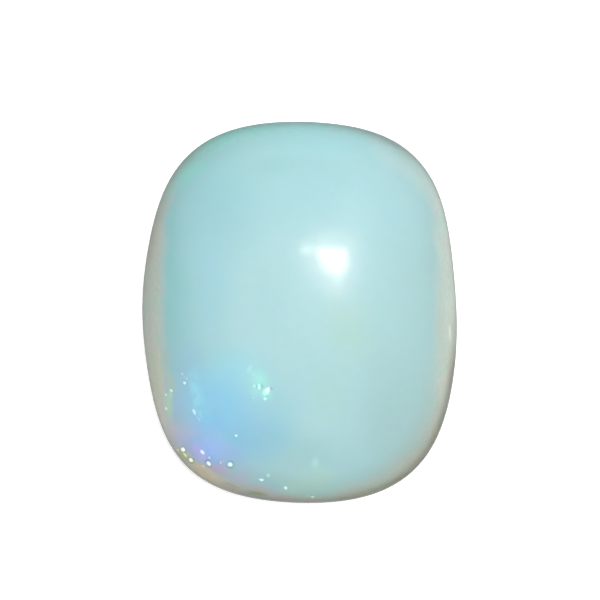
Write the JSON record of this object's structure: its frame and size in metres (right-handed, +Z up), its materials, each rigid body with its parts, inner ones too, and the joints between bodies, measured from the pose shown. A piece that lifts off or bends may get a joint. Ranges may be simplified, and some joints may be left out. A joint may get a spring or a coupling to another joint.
{
  "type": "opal cabochon",
  "caption": "Loose polished opal cabochon with a cushion outline, a high dome and a flat back, to be set in a bezel or glued to a flat seat.",
  "frame": {"origin": "middle of the stone's footprint, on the flat back that it lies on", "axes": "+Y along the stone's length, +X across its width, +Z up out of the dome; the play of colour is in the quarter towards -X and -Y"},
  "size_m": [0.0098, 0.012, 0.0044],
  "materials": {
    "milky_opal": "polished, milky and slightly translucent, with a warm rim and a patch of blue, violet and green play of colour"
  },
  "bodies": {
    "root": {"opal_cabochon": "milky_opal"}
  },
  "joints": []
}
